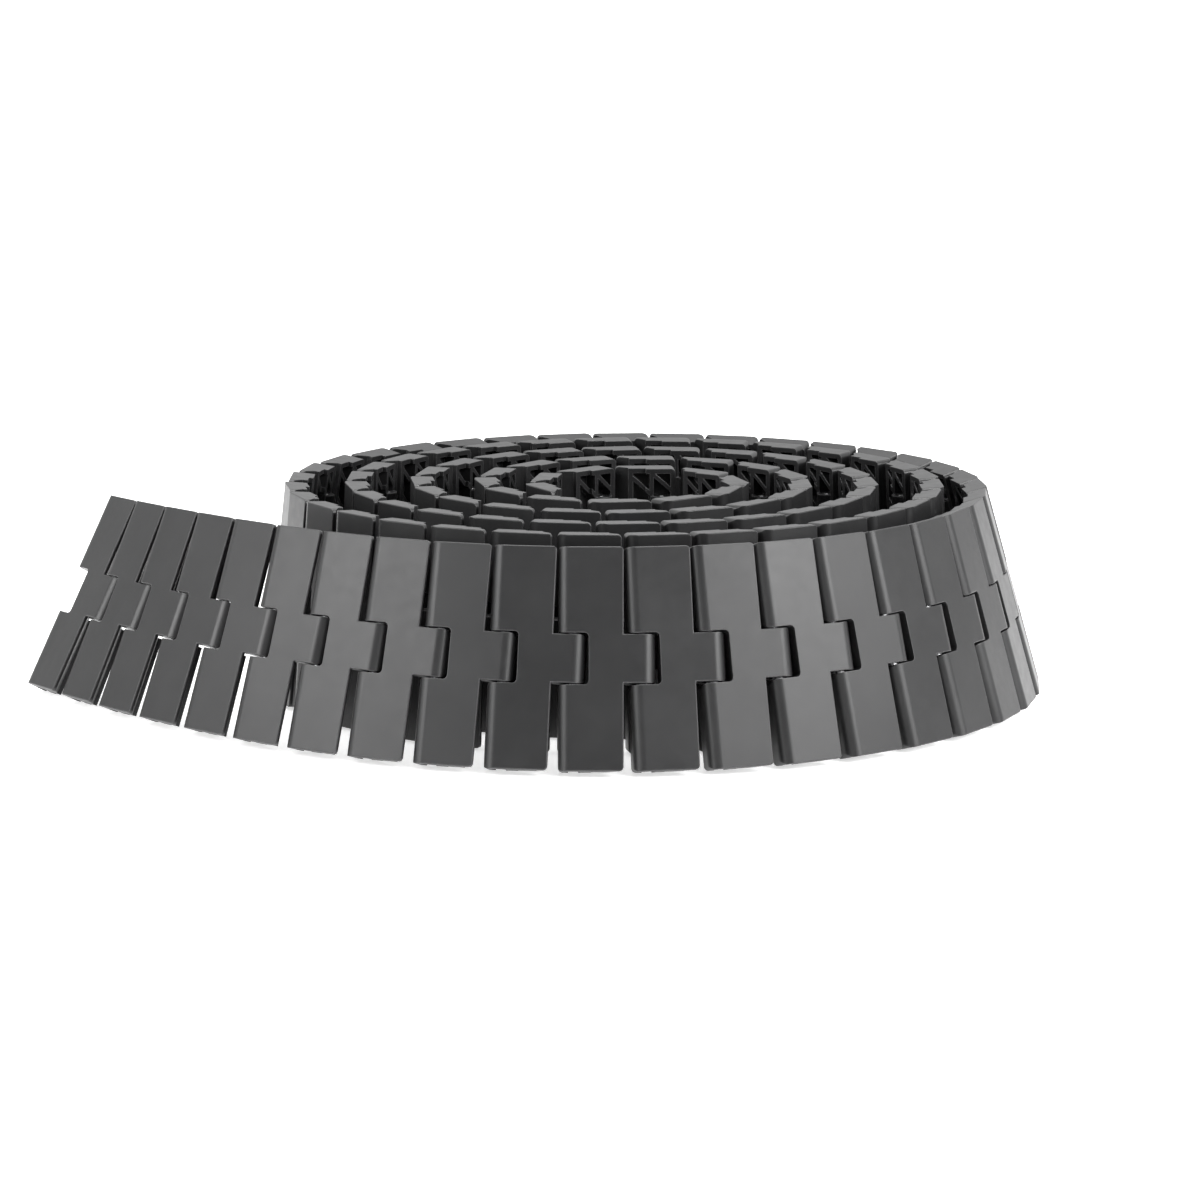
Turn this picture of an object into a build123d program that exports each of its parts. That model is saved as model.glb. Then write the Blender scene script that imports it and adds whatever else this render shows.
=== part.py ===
from build123d import *
from math import asin, cos, exp, pi, radians, sin, sqrt, tan
import os

# Side-flexing table-top conveyor chain, one strand wound into a coil that stands on its edge.
# All sizes are in millimetres. In a single link X runs along the chain from the notch to the
# tongue, Y runs across the plate and Z points out of the conveying face. The pin axis of the
# notch end is the link's Y axis.

# strand
PITCH = 25.4
LINK_COUNT = 120
HINGED_LINKS = 24
PLATE_WIDTH = 82.5

# link plate
LIP_OVER = 0.69
NOTCH_EDGE = 5.6
FACE_HEIGHT = 6.6
PLATE_THICKNESS = 3.8
EDGE_ROUND = 4.4
CORNER_ROUND = 1.7
FRAME_DEPTH = 2.4
FRAME_WALL = 2.0
STEP_SHARE = 0.5
STEP_RISE = 1.8
LIP_THICKNESS = 1.4
LIP_ROOT = 5.3
LIP_LENGTH = 5.0
FACE_CHAMFER = 0.25
RIB_THICKNESS = 1.6
RIB_ANGLE = 41.0
RIB_INSET = 5.4
RIB_SPACING = 11.0

# hinge
PIN_RADIUS = 2.5
PIN_INSET = 11.25
PIN_CHAMFER = 0.4
PIN_ACCESS_PLAY = 0.5
TONGUE_WIDTH = 18.0
TONGUE_WALL = 2.3
TONGUE_SIDE_PLAY = 0.6
TONGUE_TIP_PLAY = 1.0
KNUCKLE_WALL = 2.4
PIN_PLAY = 0.1
BORE_LAND = 3.0
FLARE_SPARE = 0.9

# coil, its radii and turn spacing in pitches
START_HEADING = -55.0
TURN_SPACING = 1.047
CORE_RADIUS = 1.476
TAIL_RADIUS = 37.0
TAIL_LINKS = 4.9
TAIL_BLEND = 2.0
TAIL_FLEX = 0.9
OUTER_FLEX = 2.7
INNER_FLEX = 0.65
FLEX_CHANGE = 35.8
FLEX_BLEND = 2.2

# values that follow from the sizes above
HALF_WIDTH = PLATE_WIDTH / 2
PLATE_GAP = radians(OUTER_FLEX) * HALF_WIDTH - LIP_OVER
SHARP_EDGE = PITCH - PLATE_GAP - NOTCH_EDGE
PLATE_LENGTH = SHARP_EDGE + NOTCH_EDGE
PIN_LENGTH = PLATE_WIDTH - 2 * PIN_INSET
KNUCKLE_RADIUS = PIN_RADIUS + KNUCKLE_WALL
TONGUE_REACH = PIN_RADIUS + TONGUE_WALL
NOTCH_HALF = TONGUE_WIDTH / 2 + TONGUE_SIDE_PLAY
NOTCH_FLOOR = TONGUE_REACH + TONGUE_TIP_PLAY
TONGUE_TIP = PITCH + TONGUE_REACH
PLATE_UNDERSIDE = FACE_HEIGHT - PLATE_THICKNESS
STEP_AT = STEP_SHARE * PLATE_LENGTH - NOTCH_EDGE
POCKET_END = SHARP_EDGE - LIP_LENGTH - FRAME_WALL
WING_START = NOTCH_HALF + FRAME_WALL
WING_END = HALF_WIDTH - FRAME_WALL

# how far the shapes that trim a link reach, beyond the size of any link
BEYOND = 60.0


def across(sketch, width):
    """Extrudes a side profile evenly to both sides of the link's middle."""
    return extrude(sketch, width / 2, both=True)


def block(x0, x1, y0, y1, z0, z1):
    """An upright box between two opposite corners."""
    middle = ((x0 + x1) / 2, (y0 + y1) / 2, (z0 + z1) / 2)
    return Pos(*middle) * Box(x1 - x0, y1 - y0, z1 - z0)


def rod(radius, y0, y1):
    """A cylinder about the link's Y axis."""
    return Pos(0, (y0 + y1) / 2, 0) * Rot(90, 0, 0) * Cylinder(radius, y1 - y0)


def plate_profile():
    """Side view of the plate: rounded notch edge, stepped underside, sharp far edge."""
    outline = Polyline(
        (-NOTCH_EDGE, -FRAME_DEPTH),
        (STEP_AT, -FRAME_DEPTH),
        (STEP_AT, STEP_RISE - FRAME_DEPTH),
        (SHARP_EDGE - LIP_LENGTH, STEP_RISE - FRAME_DEPTH),
        (SHARP_EDGE - LIP_LENGTH, FACE_HEIGHT - LIP_ROOT),
        (SHARP_EDGE, FACE_HEIGHT - LIP_THICKNESS),
        (SHARP_EDGE, FACE_HEIGHT - FACE_CHAMFER),
        (SHARP_EDGE - FACE_CHAMFER, FACE_HEIGHT),
        (EDGE_ROUND - NOTCH_EDGE, FACE_HEIGHT),
    )
    edge = RadiusArc(
        (EDGE_ROUND - NOTCH_EDGE, FACE_HEIGHT),
        (-NOTCH_EDGE, FACE_HEIGHT - EDGE_ROUND),
        -EDGE_ROUND,
    )
    heel = Line((-NOTCH_EDGE, FACE_HEIGHT - EDGE_ROUND), (-NOTCH_EDGE, -FRAME_DEPTH))
    return Plane.XZ * make_face([*outline.edges(), *edge.edges(), *heel.edges()])


def plate_plan():
    """Top view of the plate with its rounded corners and the central notch."""
    middle = (SHARP_EDGE - NOTCH_EDGE) / 2
    plan = Pos(middle, 0) * RectangleRounded(PLATE_LENGTH, PLATE_WIDTH, CORNER_ROUND)
    notch = Pos(-NOTCH_EDGE, 0) * RectangleRounded(
        2 * (NOTCH_EDGE + NOTCH_FLOOR), 2 * NOTCH_HALF, CORNER_ROUND
    )
    plan -= notch
    mouth = plan.vertices().sort_by(Axis.X)[:4].sort_by(SortBy.DISTANCE)[:2]
    return fillet(mouth, CORNER_ROUND)


def end_view(width):
    """End view of a moulding, its two upper corners eased, as long as the link."""
    half = width / 2
    corners = [
        (-half, -BEYOND),
        (half, -BEYOND),
        (half, FACE_HEIGHT - FACE_CHAMFER),
        (half - FACE_CHAMFER, FACE_HEIGHT),
        (FACE_CHAMFER - half, FACE_HEIGHT),
        (-half, FACE_HEIGHT - FACE_CHAMFER),
    ]
    return extrude(Plane.YZ * make_face(Polyline(*corners, close=True)), BEYOND, both=True)


def tongue_profile():
    """Side view of the tongue: flat top, rounded tip, knuckle about the far pin."""
    shoulder = FACE_HEIGHT - EDGE_ROUND
    slab = [
        (NOTCH_FLOOR + FRAME_WALL, PLATE_UNDERSIDE),
        (SHARP_EDGE - 4.0, PLATE_UNDERSIDE),
        (PITCH - 3.0, -TONGUE_REACH),
        (PITCH, -TONGUE_REACH),
        (TONGUE_TIP, 0),
        (TONGUE_TIP, shoulder),
        (TONGUE_TIP - EDGE_ROUND, FACE_HEIGHT),
        (NOTCH_FLOOR + FRAME_WALL, FACE_HEIGHT),
    ]
    body = make_face(Polyline(*slab, close=True))
    nose = Pos(TONGUE_TIP - EDGE_ROUND, shoulder) * Circle(EDGE_ROUND)
    knuckle = Pos(PITCH, 0) * Circle(TONGUE_REACH)
    return Plane.XZ * (body + nose + knuckle)


def tongue():
    """The central tongue, its tip corners rounded in the top view."""
    length = TONGUE_TIP - NOTCH_FLOOR
    plan = Pos(TONGUE_TIP - length / 2, 0) * RectangleRounded(
        length, TONGUE_WIDTH, CORNER_ROUND
    )
    return across(tongue_profile(), TONGUE_WIDTH) & across_height(plan) & end_view(TONGUE_WIDTH)


def across_height(sketch):
    """Extrudes a top view through the full depth of the link."""
    return extrude(sketch, BEYOND, both=True)


def pocket_spans():
    """The two rows of pockets along a link: over the pin, and from its barrel to the lip."""
    over_pin = (FRAME_WALL - NOTCH_EDGE, KNUCKLE_RADIUS - RIB_THICKNESS)
    by_lip = (KNUCKLE_RADIUS, POCKET_END)
    return over_pin, by_lip


def wing_pockets(side):
    """The two hollows under one wing, with a wall across the plate between them."""
    low, high = sorted((side * WING_START, side * WING_END))
    return [block(x0, x1, low, high, -BEYOND, PLATE_UNDERSIDE) for x0, x1 in pocket_spans()]


def slanting_rib(x0, x1, y, side):
    """One stiffener that crosses a pocket at a slant, centred at a distance y from the middle."""
    length = (x1 - x0) / cos(radians(RIB_ANGLE)) + RIB_THICKNESS
    bar = Box(length, RIB_THICKNESS, 2 * BEYOND)
    return Pos((x0 + x1) / 2, side * y, 0) * Rot(0, 0, side * RIB_ANGLE) * bar


def wing_ribs(side):
    """The slanting stiffeners of one wing: one over the pin and a row of them by the lip."""
    over_pin, by_lip = pocket_spans()
    ribs = [slanting_rib(*over_pin, HALF_WIDTH - RIB_INSET, side)]
    count = int((WING_END - WING_START) // RIB_SPACING)
    for n in range(count):
        y = HALF_WIDTH - RIB_INSET - RIB_THICKNESS - n * RIB_SPACING
        ribs.append(slanting_rib(*by_lip, y, side))
    return ribs


def outer_knuckle(side):
    """The barrel beside the notch that grips one end of the pin."""
    y0, y1 = sorted((side * NOTCH_HALF, side * PIN_LENGTH / 2))
    web = block(-KNUCKLE_RADIUS, KNUCKLE_RADIUS, y0, y1, 0, PLATE_UNDERSIDE + 1)
    return rod(KNUCKLE_RADIUS, y0, y1) + web


def tongue_bore():
    """Pin hole of the tongue: a short land that opens to both sides, so the link can flex."""
    land = PIN_RADIUS + PIN_PLAY
    reach = TONGUE_WIDTH / 2 + 1
    mouth = land + (reach - BORE_LAND / 2) * tan(radians(OUTER_FLEX + FLARE_SPARE))
    outline = Polyline(
        (0, -reach),
        (mouth, -reach),
        (land, -BORE_LAND / 2),
        (land, BORE_LAND / 2),
        (mouth, reach),
        (0, reach),
        close=True,
    )
    return Pos(PITCH, 0, 0) * revolve(make_face(outline), Axis.Y)


def link_plate():
    """One moulded link: plate, frame, ribs, two outer knuckles and the tongue."""
    blank = across(plate_profile(), PLATE_WIDTH) & across_height(plate_plan())
    blank &= end_view(PLATE_WIDTH)
    plate = blank
    for side in (-1, 1):
        for cut in wing_pockets(side):
            plate -= cut
    near = NOTCH_HALF
    start = NOTCH_FLOOR + FRAME_WALL
    plate -= block(start, SHARP_EDGE + 1, -near, near, -BEYOND, PLATE_UNDERSIDE)
    for side in (-1, 1):
        for rib in wing_ribs(side):
            plate += rib & blank
        plate += outer_knuckle(side)
    plate += tongue()
    plate -= rod(PIN_RADIUS, -PIN_LENGTH / 2, PIN_LENGTH / 2)
    plate -= rod(PIN_RADIUS + PIN_ACCESS_PLAY, -HALF_WIDTH - 1, -PIN_LENGTH / 2)
    plate -= tongue_bore()
    return plate.solid()


def hinge_pin():
    """Plain steel hinge pin with chamfered ends."""
    blank = rod(PIN_RADIUS, -PIN_LENGTH / 2, PIN_LENGTH / 2)
    return chamfer(blank.edges().filter_by(GeomType.CIRCLE), PIN_CHAMFER).solid()


def ramp(x):
    """Smooth change from 0 to 1 about x = 0."""
    return 1 / (1 + exp(-x))


def bend(i):
    """Turn of the chain at link i, in radians: loose tail first, then an even spiral."""
    wound = max(LINK_COUNT - TAIL_LINKS - i, 0)
    radius = sqrt(CORE_RADIUS**2 + wound * TURN_SPACING / pi)
    share = ramp((i - TAIL_LINKS) / TAIL_BLEND)
    return (1 - share) / TAIL_RADIUS + share / radius


def lean(i):
    """How far link i leans out at its foot, in radians, from the flex between links."""
    share = ramp((i - TAIL_LINKS) / TAIL_BLEND)
    inner = ramp((i - FLEX_CHANGE) / FLEX_BLEND)
    wound = OUTER_FLEX * (1 - inner) + INNER_FLEX * inner
    flex = radians(TAIL_FLEX * (1 - share) + wound * share)
    return asin(flex / bend(i))


def pin_height(i):
    """Height of the middle of pin i when the foot of its link rests on the ground."""
    angle = lean(min(i, LINK_COUNT - 1))
    return HALF_WIDTH * cos(angle) + FRAME_DEPTH * sin(angle)


def link_planes():
    """The frame of every link, from the free outer end to the inner end of the coil."""
    heading = radians(START_HEADING)
    foot = Vector(0, 0, pin_height(0))
    planes = []
    for i in range(LINK_COUNT):
        rise = pin_height(i + 1) - pin_height(i)
        level = sqrt(PITCH**2 - rise**2)
        along = Vector(level * cos(heading), level * sin(heading), rise) / PITCH
        outward = Vector(sin(heading), -cos(heading), 0)
        upright = Vector(0, 0, 1) * cos(lean(i)) - outward * sin(lean(i))
        planes.append(Plane(origin=foot, x_dir=along, z_dir=along.cross(upright)))
        foot = foot + along * PITCH
        heading += (bend(i) + bend(min(i + 1, LINK_COUNT - 1))) / 2
    return planes


def turn_of(i):
    """Number of the coil's turn that link i lies in, 1 for the outermost."""
    turned = sum((bend(j) + bend(j + 1)) / 2 for j in range(HINGED_LINKS, i))
    return 1 + int((turned + pi) // (2 * pi))


def name_of(i):
    """Two-digit number of link i, counted from 1 at the free outer end."""
    return f"{i + 1:02d}"


def coil_parts():
    """Every node by name, standing on the ground and centred on the origin."""
    plate = link_plate()
    pin = hinge_pin()
    nodes = {}
    for i, plane in enumerate(link_planes()):
        if i < HINGED_LINKS:
            link_node, pin_node = f"link_{name_of(i)}", f"pin_{name_of(i)}"
        else:
            link_node = f"coil_turn_{turn_of(i)}_links"
            pin_node = f"coil_turn_{turn_of(i)}_pins"
        nodes.setdefault(link_node, []).append(plane.location * plate)
        if i > 0:
            nodes.setdefault(pin_node, []).append(plane.location * pin)
    boxes = [s.bounding_box() for solids in nodes.values() for s in solids]
    middle_x = (min(b.min.X for b in boxes) + max(b.max.X for b in boxes)) / 2
    middle_y = (min(b.min.Y for b in boxes) + max(b.max.Y for b in boxes)) / 2
    shift = Pos(-middle_x, -middle_y, -min(b.min.Z for b in boxes))
    return {name: [shift * s for s in solids] for name, solids in nodes.items()}


def write_parts():
    """Writes one STEP file for each node."""
    os.makedirs("parts", exist_ok=True)
    for name, solids in coil_parts().items():
        export_step(Compound(label=name, children=solids), f"parts/{name}.step", write_pcurves=False)


write_parts()
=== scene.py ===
import math

import bpy
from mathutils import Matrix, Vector


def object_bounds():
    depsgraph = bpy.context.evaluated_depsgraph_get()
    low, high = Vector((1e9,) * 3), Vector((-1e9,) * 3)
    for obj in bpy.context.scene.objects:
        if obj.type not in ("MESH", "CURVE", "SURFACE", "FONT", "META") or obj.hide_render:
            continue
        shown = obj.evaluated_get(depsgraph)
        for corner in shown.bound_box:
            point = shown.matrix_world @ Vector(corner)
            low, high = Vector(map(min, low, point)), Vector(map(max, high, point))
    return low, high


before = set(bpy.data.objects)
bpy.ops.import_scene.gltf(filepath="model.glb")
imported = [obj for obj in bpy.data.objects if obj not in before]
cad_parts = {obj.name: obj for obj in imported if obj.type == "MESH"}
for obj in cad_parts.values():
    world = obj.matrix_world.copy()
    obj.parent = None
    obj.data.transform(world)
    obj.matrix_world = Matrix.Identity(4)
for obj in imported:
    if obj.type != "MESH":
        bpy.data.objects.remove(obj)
cad_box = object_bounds()

# colours, linear
PLASTIC_DARK = (0.011, 0.011, 0.0115, 1.0)
PLASTIC_LIGHT = (0.017, 0.017, 0.0175, 1.0)
# painted highlight: the paler colour given to sharp edges, standing in for light caught on
# their rounding
PLASTIC_EDGE_HIGHLIGHT = (0.085, 0.085, 0.087, 1.0)
STEEL = (0.60, 0.60, 0.61, 1.0)
STEEL_DULL = (0.42, 0.42, 0.43, 1.0)

# edge easing that catches the light, in metres
EDGE_RADIUS = 0.00045

# texture scales, in noise cells to a metre
CLOUD_SCALE = 34.0
PATCH_SCALE = 210.0
GRAIN_SCALE = 4200.0
STEEL_PATCH_SCALE = 600.0
STEEL_MARK_SCALE = 2600.0

# how bright the surround is behind the camera, and behind the coil
FRONT_STRENGTH = 0.34
BACK_STRENGTH = 1.0

# floor
FLOOR_SIZE = 14.0
FLOOR_DROP = 0.0002
FLOOR_GLOW = 0.62

# soft boxes: name, place, width, height in metres, power in watts
SOFT_BOXES = (
    ("left_box", (-1.65, -0.8, 1.0), 1.4, 0.85, 28.0),
    ("right_box", (1.5, -0.95, 0.98), 1.45, 0.85, 44.0),
    ("top_box", (0.1, 0.3, 1.7), 1.2, 1.2, 28.0),
)

# camera: place in metres, tilt down in degrees, lens and sensor in millimetres
CAMERA_PLACE = (0.0259, -1.675, 0.3452)
CAMERA_TILT = 10.48
CAMERA_LENS = 127.3
CAMERA_SENSOR = 36.0


def new_material(name):
    """An empty node material with its shader and output, ready for more nodes."""
    material = bpy.data.materials.new(name)
    material.use_nodes = True
    tree = material.node_tree
    tree.nodes.clear()
    shader = tree.nodes.new("ShaderNodeBsdfPrincipled")
    output = tree.nodes.new("ShaderNodeOutputMaterial")
    tree.links.new(shader.outputs["BSDF"], output.inputs["Surface"])
    return material, tree, shader


def noise(tree, scale, detail, roughness=0.5):
    """A noise texture in object space, which stays with the piece as it moves."""
    coords = tree.nodes.new("ShaderNodeTexCoord")
    texture = tree.nodes.new("ShaderNodeTexNoise")
    texture.inputs["Scale"].default_value = scale
    texture.inputs["Detail"].default_value = detail
    texture.inputs["Roughness"].default_value = roughness
    tree.links.new(coords.outputs["Object"], texture.inputs["Vector"])
    return texture.outputs["Fac"]


def spread(tree, value, low, high, from_low=0.3, from_high=0.7):
    """Maps a texture's value on to a range."""
    node = tree.nodes.new("ShaderNodeMapRange")
    node.inputs["From Min"].default_value = from_low
    node.inputs["From Max"].default_value = from_high
    node.inputs["To Min"].default_value = low
    node.inputs["To Max"].default_value = high
    tree.links.new(value, node.inputs["Value"])
    return node.outputs["Result"]


def mixed(tree, factor, first, second):
    """Blends two colours; each is a tuple or a socket."""
    node = tree.nodes.new("ShaderNodeMix")
    node.data_type = "RGBA"
    tree.links.new(factor, node.inputs[0])
    for socket, value in ((node.inputs[6], first), (node.inputs[7], second)):
        if isinstance(value, tuple):
            socket.default_value = value
        else:
            tree.links.new(value, socket)
    return node.outputs[2]


def edge_highlight_mask(tree, radius):
    """1 on sharp edges and 0 on flats, from how far a bevelled normal turns; it places the
    painted edge highlight.
    """
    bevel = tree.nodes.new("ShaderNodeBevel")
    bevel.samples = 6
    bevel.inputs["Radius"].default_value = radius
    geometry = tree.nodes.new("ShaderNodeNewGeometry")
    dot = tree.nodes.new("ShaderNodeVectorMath")
    dot.operation = "DOT_PRODUCT"
    tree.links.new(bevel.outputs["Normal"], dot.inputs[0])
    tree.links.new(geometry.outputs["Normal"], dot.inputs[1])
    return bevel, spread(tree, dot.outputs["Value"], 1.0, 0.0, 0.86, 0.995)


def bumped(tree, shader, height, strength, distance, normal=None):
    """Adds fine relief to a shader, on top of another normal if there is one."""
    bump = tree.nodes.new("ShaderNodeBump")
    bump.inputs["Strength"].default_value = strength
    bump.inputs["Distance"].default_value = distance
    tree.links.new(height, bump.inputs["Height"])
    if normal is not None:
        tree.links.new(normal, bump.inputs["Normal"])
    tree.links.new(bump.outputs["Normal"], shader.inputs["Normal"])


def moulded_plastic():
    """Dark grey satin acetal: faint cloudiness, fine mould grain, and edges painted paler
    as a highlight.
    """
    material, tree, shader = new_material("moulded_plastic")
    cloud = noise(tree, CLOUD_SCALE, 4.0)
    tone = mixed(tree, spread(tree, cloud, 0.0, 1.0), PLASTIC_DARK, PLASTIC_LIGHT)
    bevel, highlight_mask = edge_highlight_mask(tree, EDGE_RADIUS)
    # painted highlight: the edges are mixed toward the paler edge colour
    shade = mixed(tree, highlight_mask, tone, PLASTIC_EDGE_HIGHLIGHT)
    tree.links.new(shade, shader.inputs["Base Color"])
    patch = noise(tree, PATCH_SCALE, 5.0, 0.6)
    tree.links.new(spread(tree, patch, 0.34, 0.40), shader.inputs["Roughness"])
    grain = noise(tree, GRAIN_SCALE, 3.0, 0.7)
    bumped(tree, shader, grain, 0.16, 0.00004, bevel.outputs["Normal"])
    shader.inputs["IOR"].default_value = 1.49
    shader.inputs["Specular IOR Level"].default_value = 0.5
    return material


def drawn_steel():
    """Bright drawn steel pin: fine turned marks and a little dullness in patches."""
    material, tree, shader = new_material("drawn_steel")
    patch = noise(tree, STEEL_PATCH_SCALE, 3.0)
    tone = mixed(tree, spread(tree, patch, 0.0, 1.0), STEEL, STEEL_DULL)
    tree.links.new(tone, shader.inputs["Base Color"])
    shader.inputs["Metallic"].default_value = 1.0
    marks = noise(tree, STEEL_MARK_SCALE, 2.0, 0.6)
    tree.links.new(spread(tree, marks, 0.22, 0.36), shader.inputs["Roughness"])
    bumped(tree, shader, marks, 0.2, 0.00003)
    return material


def dress(nodes):
    """Gives every carried-over part its material."""
    plastic = moulded_plastic()
    steel = drawn_steel()
    for name, part in nodes.items():
        material = steel if "pin" in name else plastic
        if not part.material_slots:
            part.data.materials.append(material)
        for slot in part.material_slots:
            slot.material = material


def aim(thing, target):
    """Turns a light to look at a point."""
    direction = Vector(target) - thing.location
    thing.rotation_euler = direction.to_track_quat("-Z", "Y").to_euler()


def soft_box(name, place, target, width, height, power):
    """A rectangular soft light."""
    light = bpy.data.lights.new(name, "AREA")
    light.shape = "RECTANGLE"
    light.size = width
    light.size_y = height
    light.energy = power
    lamp = bpy.data.objects.new(name, light)
    lamp.location = place
    bpy.context.scene.collection.objects.link(lamp)
    aim(lamp, target)


def pale_floor():
    """A plain white floor that glows a little, so only a soft shadow shows on it."""
    bpy.ops.mesh.primitive_plane_add(size=FLOOR_SIZE, location=(0, 0, -FLOOR_DROP))
    plane = bpy.context.object
    plane.name = "floor"
    material, tree, shader = new_material("pale_floor")
    shader.inputs["Base Color"].default_value = (0.85, 0.85, 0.85, 1.0)
    shader.inputs["Roughness"].default_value = 0.9
    shader.inputs["Emission Color"].default_value = (1.0, 1.0, 1.0, 1.0)
    shader.inputs["Emission Strength"].default_value = FLOOR_GLOW
    plane.data.materials.append(material)


def dim_front(tree, back):
    """Makes the surround darker on the camera's side, as an unlit studio is."""
    coords = tree.nodes.new("ShaderNodeTexCoord")
    split = tree.nodes.new("ShaderNodeSeparateXYZ")
    tree.links.new(coords.outputs["Generated"], split.inputs["Vector"])
    shade = spread(tree, split.outputs["Y"], FRONT_STRENGTH, BACK_STRENGTH, -0.75, 0.6)
    tree.links.new(shade, back.inputs["Strength"])


def studio(middle):
    """White surround, a pale floor, and soft boxes left, right and above the coil."""
    world = bpy.data.worlds.new("studio")
    bpy.context.scene.world = world
    world.use_nodes = True
    back = world.node_tree.nodes["Background"]
    back.inputs["Color"].default_value = (1.0, 1.0, 1.0, 1.0)
    dim_front(world.node_tree, back)
    for name, place, width, height, power in SOFT_BOXES:
        soft_box(name, place, middle, width, height, power)
    pale_floor()


def camera():
    """Long lens a little above the coil, at the height of a table-top picture."""
    data = bpy.data.cameras.new("camera")
    data.sensor_width = CAMERA_SENSOR
    data.lens = CAMERA_LENS
    data.clip_start = 0.01
    eye = bpy.data.objects.new("camera", data)
    eye.location = CAMERA_PLACE
    eye.rotation_euler = (math.radians(90 - CAMERA_TILT), 0, 0)
    bpy.context.scene.collection.objects.link(eye)
    bpy.context.scene.camera = eye


low, high = cad_box
centre = ((low[0] + high[0]) / 2, (low[1] + high[1]) / 2, (low[2] + high[2]) / 2)
camera()
dress(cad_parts)
studio(centre)
bpy.context.scene.view_settings.view_transform = "Standard"
